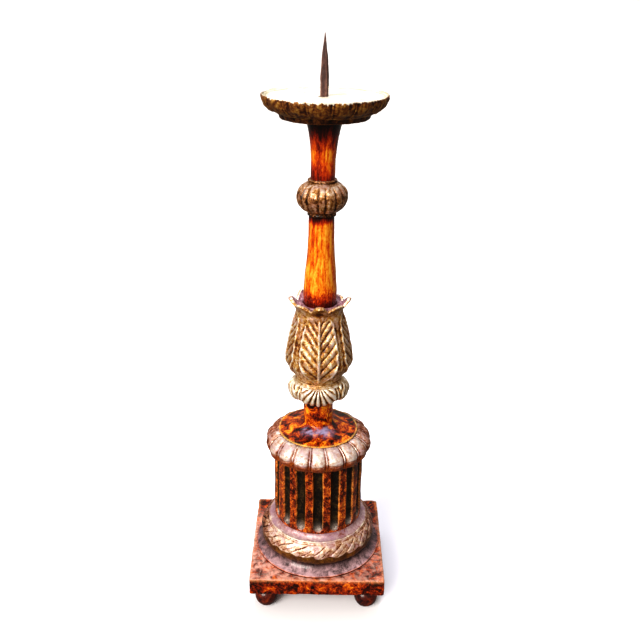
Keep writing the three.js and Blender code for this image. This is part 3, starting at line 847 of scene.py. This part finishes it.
def leaf_collar(material):
    """The skirt of four leaves that turn down, with a small leaf between each two."""
    node = "leaf_collar"
    radius, height = measured(node)
    neck = 17.8
    skirt = radius - 10
    outline = Outline(neck, 5.0).line(skirt - 1, 5.4)
    outline.curve((radius - 2.6, 6.4), (radius - 0.6, 15))
    outline.curve((radius + 0.8, 25), (radius - 9.0, height - 2.2))
    outline.curve((radius - 9.6, height), (radius - 11.5, height))
    collar = Turned(node, outline, 480, bore("neck_dowel"))
    z = collar.turned_height
    turn = wrapped(collar.angle, QUARTER)
    x = turn * radius
    leaf_half = math.radians(37)
    fan = np.degrees(np.arctan2(x, height + 5 - z))
    rib = np.mod(fan / 16.5 + 0.5 + 0.12 * wander(collar.place(), 12, 73), 1) - 0.5
    in_leaf = 1 - smooth(np.abs(turn), leaf_half - 0.03, leaf_half + 0.02)
    between = np.abs(np.abs(turn) - math.pi / 4)
    small_rib = np.mod(between * radius / 4.2 + 0.5, 1) - 0.5
    field = band(z, 1, 6, height - 5, height - 2.8) * (collar.turned_radius > skirt + 0.5)
    grooves = np.abs(2 * rib) ** 2.2 * in_leaf
    small = np.abs(2 * small_rib) ** 2.2 * (1 - in_leaf)
    collar.carve(field * (1.9 * grooves + 1.2 * small + 1.7 * (1 - in_leaf)))
    collar.carve(-0.9 * field * ridge(x, 2.4))
    scallop = 1.5 * np.abs(2 * rib) ** 2 * in_leaf
    hang = 3.0 * (np.abs(turn) / leaf_half) ** 2.2 * in_leaf
    hang = hang + (1 - in_leaf) * (1.4 + 3.5 * np.clip(between / 0.14, 0, 1) ** 2)
    lower = 1 - smooth(z, 0, 15)
    outer = smooth(collar.turned_radius, neck + 1, skirt)
    collar.height = collar.height + (hang + scallop) * lower * outer
    collar.carve(0.6 * bump(z, height - 2.8, 1.0) * (collar.turned_radius > radius - 11))
    # Painted shade: the top band, under the calyx, is painted darker.
    collar.edge -= smooth(z, height - 2.6, height - 1.6) * 0.9
    collar.roughen(71, (8, 0.45), (2.8, 0.25))
    collar.build("leaf_skirt", material, 75)


def leaf_calyx(material):
    """The bud: four veined leaves over four narrow ones, and a mouth of curling tips."""
    node = "leaf_calyx"
    widest, tip = measured(node)
    radius = widest - 1.2
    seat = tip - 17
    waist = radius - 11.0
    seat_radius = reach("middle_shaft") + GLUE_GAP
    outline = Outline(radius - 13, 0).through(
        (radius - 1.6, 16), (radius, 27), (radius - 4.0, 52), (waist, seat - 2),
        (waist + 1.2, seat + 6), (waist + 3.6, seat + 10.5), (radius - 5.2, tip - 3.4))
    outline.curve((radius - 3.4, tip - 2.0), (radius - 4.2, tip - 0.8))
    outline.curve((radius - 5.0, tip + 0.3), (radius - 7.4, tip - 0.6))
    outline.through((waist - 0.5, tip - 4.5), (seat_radius + 0.6, tip - 6.3))
    outline.curve((seat_radius, tip - 6.5), (seat_radius, tip - 7.5)).line(seat_radius, seat)
    calyx = Turned(node, outline, 480, bore("neck_dowel"), bore("stem_dowel"))
    z = calyx.turned_height
    top_row = int(np.argmax(z[:, 0]))
    outside = (np.arange(len(z)) <= top_row)[:, None]
    turn = wrapped(calyx.angle, QUARTER)
    x = turn * calyx.turned_radius
    half = np.radians(np.interp(z, (0, 7, 14, 22, 32, 48, 62, 75, 84, 92),
                                (7, 17, 27, 34.5, 37.5, 38, 37, 35, 26, 18)))
    # Veins fan out from the midrib, steeper towards the tip.
    origin = (z - 0.72 * np.abs(x)) / (1 + 0.0125 * np.abs(x))
    vein = np.mod(origin / 10.2
                  + 0.06 * wander(stacked(20 * np.sign(x), z, calyx.turn * 30), 11, 84), 1)
    half = half + 0.014 * np.cos(2 * math.pi * vein) * smooth(z, 10, 20)
    gap = (half - np.abs(turn)) * calyx.turned_radius
    on_leaf = smooth(gap, -0.5, 0.5)
    margin = ridge(gap - 1.6, 1.3)
    groove = 1 - np.sin(math.pi * vein) ** 0.7
    body = band(z, 3, 12, seat - 6, seat + 1) * outside
    ribs = body * on_leaf * smooth(gap, 1.4, 3.6) * smooth(np.abs(x), 1.0, 2.6)
    calyx.carve(1.8 * groove * ribs)
    dish = 0.9 * np.sin(math.pi * np.clip(np.abs(turn) / half, 0, 1)) ** 1.5
    calyx.carve(dish * body * on_leaf)
    calyx.carve(-0.5 * margin * body * on_leaf)
    midrib = ridge(x, 1.9 - 0.012 * z)
    calyx.carve(-midrib * band(z, 2, 8, seat - 10, seat + 2) * outside)
    # The narrow leaves lie lower, between the wide ones.
    between = (math.pi / 4 - np.abs(turn)) * calyx.turned_radius
    narrow = np.mod((z - 1.5 * np.abs(between)) / 8.0, 1)
    behind = (1 - on_leaf) * band(z, 1, 5, seat - 18, seat + 4) * outside
    calyx.carve(behind * (1.4 + 0.6 * (1 - np.sin(math.pi * narrow) ** 0.6)))
    calyx.carve(-0.3 * behind * ridge(between, 1.4))
    # The mouth: a curled tongue on each wide leaf, a notch beside it, and a broad lobe between.
    degrees = np.degrees(np.abs(turn))
    stops = (0, 7, 12, 18, 26, 35, 45)
    drop = np.interp(degrees, stops, (0, 0.5, 3.4, 8.4, 6.0, 3.4, 3.0))
    inward = np.interp(degrees, stops, (0, 0.2, 2.0, 5.6, 4.4, 3.0, 2.6))
    flare = np.clip((z - seat + 3) / (tip - seat + 3), 0, 1) ** 1.3
    flare = flare * smooth(calyx.turned_radius, seat_radius + 0.5, waist - 0.5)
    calyx.height = calyx.height - drop * flare
    calyx.radius = calyx.radius - inward * flare
    tongue = ridge(degrees, 8.5)
    nose = bump(z, tip - 3.5, 4.5) * outside * tongue
    calyx.radius = calyx.radius + 2.2 * nose
    under = bump(z, tip - 11.5, 4.5) * outside * tongue
    calyx.carve(1.2 * under)
    # At the back, one small tip has curled up and the tips beside it stand lower.
    for middle, lift, width in ((226, 4.5, 7), (140, -2.5, 30)):
        near = ridge(np.degrees(calyx.turn) - middle, width)
        calyx.height = calyx.height + lift * near * flare
    calyx.zone += np.where(outside, 0, 1) * smooth(tip - z, 0.1, 1.2)
    # Painted light and shade: the top of the mouth is painted lighter, and the undersides and
    # noses of the curled tongues darker.
    calyx.edge += bump(z, tip, 2.0) * 0.4 - 1.6 * under - 1.1 * nose * smooth(tip - z, 2, 4)
    calyx.roughen(81, (9, 0.5), (2.8, 0.25))
    calyx.build("leaf_bud", material, 75)


# ---------------- shafts, knop, pan, spike


def middle_shaft(material):
    """The long shaft, which tapers upwards from the calyx's mouth."""
    node = "middle_shaft"
    foot, height = measured(node)
    outline = Outline(foot, 0).line(18.4, 28.7)
    outline.through((17.2, 47.7), (15.4, 66.7), (14.5, 84.7)).line(14, height)
    shaft = Turned(node, outline, 192, bore("stem_dowel"), bore("knop_dowel"))
    shaft.roughen(91, (17, 0.35), (5, 0.12))
    shaft.build("long_shaft", material)


def melon_knop(material):
    """The lobed ball: uneven lobes with narrow cuts between, and a collar at each end."""
    node = "melon_knop"
    radius, height = measured(node)
    neck = 14.6
    collar = 15.6
    outline = Outline(collar - 0.8, 0).curve((collar + 0.4, 0.1), (collar, 1.4))
    outline.curve((collar - 0.2, 3.2), (neck, 3.4))
    outline.curve((neck + 1, 3.6), (neck + 1.6, 4.2))
    ball = outline.points[-1]
    ball_top = (neck + 1.6, height - 3.6)
    swell = radius * 4 / 3 - ball[0] / 3
    outline.follow(lambda t: (1 - t) ** 3 * ball
                 + 3 * t * (1 - t) ** 2 * np.array((swell, ball[1] + 6))
                 + 3 * t * t * (1 - t) * np.array((swell, ball_top[1] - 6))
                 + t ** 3 * np.array(ball_top))
    outline.curve((neck, height - 3.0), (neck, height - 2.6))
    outline.curve((collar + 0.6, height - 2.4), (collar + 0.2, height - 1.2))
    outline.curve((collar, height), (collar - 1, height))
    knop = Turned(node, outline, 384, bore("knop_dowel"))
    z = knop.turned_height
    number, across = lobes(knop.angle, KNOP_LOBES, stray=0.17, seed=17)
    on_ball = band(z, 3.8, 7.5, height - 7.5, height - 3.8)
    knop.carve(on_ball * (1.25 * np.abs(across) ** 4 - 0.1))
    heavy = np.random.default_rng(18).uniform(-0.3, 0.5, KNOP_LOBES)[number]
    knop.carve(-heavy * on_ball * (1 - across ** 2))
    # Painted highlights: thin lighter lines on the collars' rims. The collars and the ends of the
    # ball are darker.
    knop.edge += 0.5 * bump(z, height - 1.4, 0.5) + 0.5 * bump(z, 1.8, 0.5)
    knop.edge -= 1 - band(z, 3.0, 6.0, height - 5.5, height - 3.0)
    knop.roughen(101, (8, 0.5), (2.6, 0.22))
    knop.build("lobed_knop", material, 75)


def upper_shaft(material):
    """The shaft that spreads under the pan, with a tenon on its top."""
    node = "upper_shaft"
    low, high = levels(node)
    pan_low, _ = levels("drip_pan")
    shoulder = pan_low - low - GLUE_GAP
    tenon = PAN_SOCKET - GLUE_GAP
    outline = Outline(13.1, 0).line(13.1, 20)
    outline.through((14.6, 37), (16.8, 51), (19.4, shoulder))
    outline.line(tenon, shoulder).line(tenon, high - low)
    shaft = Turned(node, outline, 192, bore("knop_dowel"), bore("pricket_spike"))
    outer = shaft.turned_height < shoulder - 1
    shaft.roughen(111, (16, 0.35), where=outer)
    shaft.build("spreading_shaft", material)


def drip_pan(material):
    """The pan: a pale floor, painted near-white as a reflection of the bright sky, inside a low
    lip, and gadroons carved round its side.
    """
    node = "drip_pan"
    low, high = levels(node)
    radius, height = measured(node)
    floor = height - PAN_LIP
    step = 5.6
    tang_radius, _, _, tang_middle = bore("pricket_spike")
    socket_top = levels("upper_shaft")[1] + GLUE_GAP
    outline = Outline(44, 0).curve((46.5, 0.2), (47, 1.8))
    outline.line(48.4, step - 0.5).curve((48.6, step), (49.4, step + 0.1))
    outline.curve((63.0, 9.6), (radius - 0.3, height - 4.4))
    outline.curve((radius + 0.1, height - 2.6), (radius - 0.3, height - 1.0))
    outline.curve((radius - 0.8, height), (radius - 2.2, height))
    outline.curve((radius - 5.5, floor + 0.2), (radius - 13, floor))
    outline.line(tang_radius + 4, floor)
    pan = Turned(node, outline, 640, (PAN_SOCKET, low, socket_top, (lean(socket_top), 0)),
                 (tang_radius, socket_top, high, tang_middle))
    z = pan.turned_height
    s = pan.travelled
    at_rim = s[int(np.argmax(z[:, 0] + 0.001 * pan.turned_radius[:, 0]))]
    lobe_shift = math.radians(-5)
    _, across = lobes(pan.angle, PAN_LOBES, first=lobe_shift, stray=0.06, seed=23)
    side = smooth(z, step, step + 2) * (s < at_rim) * smooth(at_rim - s, 1.2, 4.0)
    crown = np.sqrt(np.clip(1 - (np.abs(across) / 0.86) ** 2.4, 0, 1))
    dart = smooth(np.abs(across), 0.86, 1.0)
    arch = smooth(z, step + 0.6 + 5 * across ** 4, step + 3.4 + 5 * across ** 4)
    pan.carve(side * (1.1 * (1 - crown * arch) - 0.8 * dart))
    inner = ridge(np.abs(across) - 0.5, 0.1) * smooth(z, step + 5, step + 8)
    pan.carve(0.3 * side * inner)
    low_tier = (z < step - 0.3) * (pan.turned_radius > 45) * smooth(z, 0.2, 1.2)
    pan.carve(0.9 * low_tier * np.abs(across) ** 3)
    ragged = wander(pan.place() * (1, 1, 0), 3.2, 25)
    pan.carve(bump(s, at_rim, 3.2) * (0.55 * ragged + 0.25))
    pan.roughen(26, (13, 0.5), where=pan.turned_radius > 45)
    pan.roughen(27, (3.4, 0.25))
    pan.carve(0.45 * side * wander(pan.place() * (1, 1, 0.35), 2.6, 28))
    to_side = np.abs(np.sin(pan.turn)) ** 3
    pan.zone += smooth(s, at_rim - 7.2 + 3.5 * to_side, at_rim + 0.6 + 2 * to_side)
    # A lighter line along the step; the lower tier, an underside, is painted darker: painted
    # shade.
    pan.edge += 0.5 * bump(z, step, 0.8) * (s < at_rim) - 0.7 * low_tier
    pan.edge -= 0.45 * bump(s, at_rim + 3.6, 1.4) + 0.5 * to_side * bump(s, at_rim + 0.6, 2.0)
    pan.build("carved_pan", material, 75)


def pricket_spike(material):
    """The square forged spike, with soft hammered faces and a drawn point."""
    node = "pricket_spike"
    low, high = levels(node)
    tall = high - low
    tang = levels("drip_pan")[1] - PAN_LIP - low
    ridge = reach(node)
    outline = Outline(0.55 * ridge, 0).line(ridge, 0.4 * tang)
    outline.line(ridge, tang + 0.33 * (tall - tang))
    outline.line(0.7 * ridge, tang + 0.64 * (tall - tang))
    outline.line(0.16 * ridge, tall - 2.5).line(0.07 * ridge, tall)
    bar = Turned(node, outline, 48, axis=(SPIKE_SHIFT, 0))
    squareness = 1.12  # 1 would give sharp ridges and flat faces
    bar.radius = bar.radius * (np.abs(np.cos(bar.angle)) ** squareness
                               + np.abs(np.sin(bar.angle)) ** squareness) ** (-1 / squareness)
    points = corners(node)
    ridge_x, ridge_y, _ = points[np.argmin(np.where(points[:, 2] > low + tang,
                                                    points[:, 1], math.inf))]
    bar.turn = bar.turn + math.atan2(ridge_x, -ridge_y)
    above = smooth(bar.turned_height, tang - 2, tang + 12)
    bar.roughen(31, (7, 0.24), (2.2, 0.12), where=above)
    bar.edge += np.abs(np.cos(2 * bar.angle)) ** 8
    bar.build("iron_spike", material, 80)


# ---------------- floor, light, camera


def pale_floor():
    """A wide sheet of paper, which neither lights nor shows in the object's varnish."""
    half = 60.0
    mesh = bpy.data.meshes.new("floor")
    mesh.from_pydata([(-half, -half, 0), (half, -half, 0), (half, half, 0), (-half, half, 0)],
                     [], [(0, 1, 2, 3)])
    floor = bpy.data.objects.new("floor", mesh)
    bpy.context.scene.collection.objects.link(floor)
    floor.visible_diffuse = False
    floor.visible_glossy = False
    paint = Paint("floor_paper")
    paint.feed(paint.shader, {"Base Color": "f8f8fd", "Roughness": 0.9})
    mesh.materials.append(paint.material)


def lamp(name, kind, energy, tint, place, target):
    """A light at a place, aimed at a target."""
    light = bpy.data.lights.new(name, kind)
    light.energy = energy
    light.color = tint
    shown = bpy.data.objects.new(name, light)
    shown.location = place
    way = Vector(target) - Vector(place)
    shown.rotation_euler = way.to_track_quat("-Z", "Y").to_euler()
    bpy.context.scene.collection.objects.link(shown)
    shown.visible_camera = False
    return light


def studio():
    """Broad light from the upper left front, a panel above and behind, and a dim room."""
    key = lamp("key_light", "SUN", 3.1, (1, 0.95, 0.88), (-1.2, -1.8, 1.45), (0, 0, 0.2))
    key.angle = math.radians(36)
    sky = lamp("sky_panel", "AREA", 18, (0.84, 0.87, 1), (0, 0.62, 2.15), (0, 0, 0.25))
    sky.shape = "RECTANGLE"
    sky.size, sky.size_y = 0.9, 0.5
    world = bpy.data.worlds.new("room")
    world.use_nodes = True
    tree = world.node_tree
    place = tree.nodes.new("ShaderNodeTexCoord")
    split = tree.nodes.new("ShaderNodeSeparateXYZ")
    rise = tree.nodes.new("ShaderNodeMapRange")
    tree.links.new(place.outputs["Generated"], split.inputs["Vector"])
    tree.links.new(split.outputs["Z"], rise.inputs["Value"])
    tree.links.new(rise.outputs["Result"], tree.nodes["Background"].inputs["Strength"])
    for socket, number in (("From Min", -0.1), ("From Max", 0.9), ("To Min", 0.2),
                           ("To Max", 0.55)):
        rise.inputs[socket].default_value = number
    tree.nodes["Background"].inputs["Color"].default_value = (1, 0.94, 0.87, 1)
    bpy.context.scene.world = world
    bpy.context.scene.view_settings.view_transform = "Standard"
    bpy.context.scene.view_settings.look = "High Contrast"


def camera():
    """The camera stands in front, above the pan, and looks down a little, with a slight roll."""
    lens = bpy.data.cameras.new("camera")
    lens.sensor_width = 36
    lens.lens = 44.4
    shown = bpy.data.objects.new("camera", lens)
    bpy.context.scene.collection.objects.link(shown)
    shown.location = (0, -0.826, 0.705)
    look = Matrix.Rotation(math.radians(67), 3, "X")
    roll = Matrix.Rotation(math.radians(0.81), 3, "Z")
    shown.rotation_euler = (look @ roll).to_euler()
    bpy.context.scene.camera = shown


# ---------------- the candlestick


camera()
studio()
pale_floor()

ball_feet(dusky_varnish("foot_varnish", veil="a04c34", amount=0.5, glow=0.13))
plinth_slab(tortoiseshell("plinth_varnish", glow=-0.04, depth=1.7, dust_and_sheen="ecb8a8", dust_and_sheen_share=0.9,
                          rub_and_glint_colour="e09868"))
cavetto(dusky_varnish("hollow_varnish", veil="ccaab0", amount=0.95))
leaf_torus(gilding("torus_gilt", "2a1409", "7c4428", "b08060", "dcc4ae", white="f6ecdf",
                   lustre=0.3, polish=-0.05, grain=1.3, blush="b48896", blushed=0.6,
                   other=("1c0e06", "54300f", "a8762c")))
drum_foot(gilding("ring_gilt", "4a2420", "905850", "b08c90", "d0b8b8", lustre=0.3,
                  blush="a07890", blushed=0.6))
fluted_drum(fluted_varnish("drum_varnish"))
gadroons(gilding("silver_gilt", "4a1e0c", "8a4a28", "b88a70", "d4c2b6", white="ece4e0",
                 lustre=0.25, polish=-0.01, grain=1.25, blush="b48e9c", blushed=0.55,
                 other=("2c0e04", "843a10", "d88438")))
# The cap's pale bluish veil is a painted reflection of the sky in front of the neck.
cap_dome(tortoiseshell("cap_varnish", glow=0.03, depth=2.5, size=15, dust_and_sheen="b0a8cc", dust_and_sheen_share=0.95,
                       rub_and_glint_colour="f8cc74"))
gilt = gilding("worn_gilt", "4a220c", "90541f", "c29040", "e2c8a4", white="fbf4ec",
               contrast=0.33, polish=0.03, grain=1.5, blush="c4948c", blushed=0.6,
               other=("3c2024", "946a74", "d0aab4"))
leaf_collar(gilding("skirt_gilt", "30180a", "805026", "bc945c", "e0d0b8", white="faf4ea",
                    contrast=0.5, polish=0.13, blush="c09480", blushed=0.3))
leaf_calyx(gilt)
middle_shaft(streaked_varnish("long_shaft_varnish", levels("middle_shaft")[0] + 12,
                              levels("middle_shaft")[1], 9.0, 0.04))
# The knop's strong up term paints its upper half lighter: painted light from above.
melon_knop(gilding("knop_gilt", "1c0c05", "603510", "a06c30", "d4aa84", white="f4e2d4",
                   up=0.4, contrast=0.3, polish=0.0, grain=1.6, blush="b07c74", blushed=0.5))
upper_shaft(streaked_varnish("upper_shaft_varnish", levels("upper_shaft")[0],
                             levels("drip_pan")[0], 34.0, -0.09, foot=0.85))
drip_pan(pan_sheen_and_gilding("pan_paint"))
pricket_spike(rusty_iron("spike_iron"))

pine = bare_wood("dowel_pine")
for node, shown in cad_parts.items():
    if node.endswith("dowel") or node.startswith("foot_dowel"):
        shown.data.materials.clear()
        shown.data.materials.append(pine)
